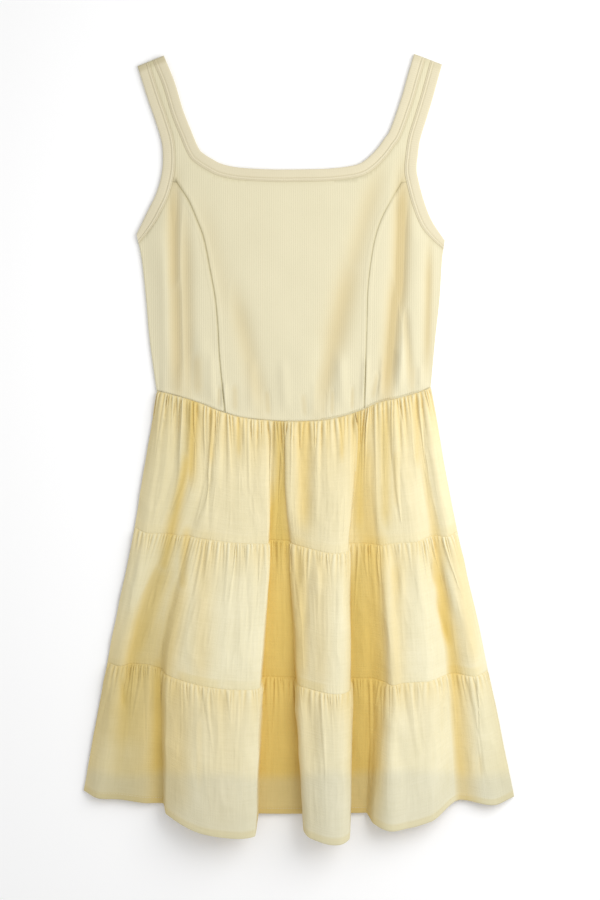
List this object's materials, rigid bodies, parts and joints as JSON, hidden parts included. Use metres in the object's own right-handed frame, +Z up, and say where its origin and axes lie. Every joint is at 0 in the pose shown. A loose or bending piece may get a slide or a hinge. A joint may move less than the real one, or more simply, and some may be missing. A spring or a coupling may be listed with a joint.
{
  "type": "sundress laid flat",
  "caption": "Sleeveless sundress laid flat on its back: ribbed bodice with wide straps and princess seams over a gathered, tiered and lined skirt with deep soft folds.",
  "frame": {"origin": "middle of the laid dress in plan, on the surface that it lies on", "axes": "+Y along the dress to the strap ends, +X to the right of the front as seen from above, +Z up from the surface, out of the front"},
  "size_m": [0.492, 0.8993, 0.0461],
  "materials": {
    "rib_jersey": "pale yellow fine rib jersey, matt",
    "rib_binding": "pale yellow rib band, matt, twin-needle stitched",
    "voile": "pale yellow semi-sheer voile, matt with a faint sheen",
    "lining_cloth": "pale yellow plain lining, matt"
  },
  "bodies": {
    "root": {"bodice_front_centre": "rib_jersey", "bodice_front_side_left": "rib_jersey", "bodice_front_side_right": "rib_jersey", "bodice_back": "rib_jersey", "neck_binding_front": "rib_binding", "neck_binding_back": "rib_binding", "armhole_binding_left_front": "rib_binding", "armhole_binding_left_back": "rib_binding", "armhole_binding_right_front": "rib_binding", "armhole_binding_right_back": "rib_binding", "skirt_tier_1_front": "voile", "skirt_tier_1_back": "voile", "skirt_tier_2_front": "voile", "skirt_tier_2_back": "voile", "skirt_tier_3_front": "voile", "skirt_tier_3_back": "voile", "lining_front": "lining_cloth", "lining_back": "lining_cloth"}
  },
  "joints": []
}
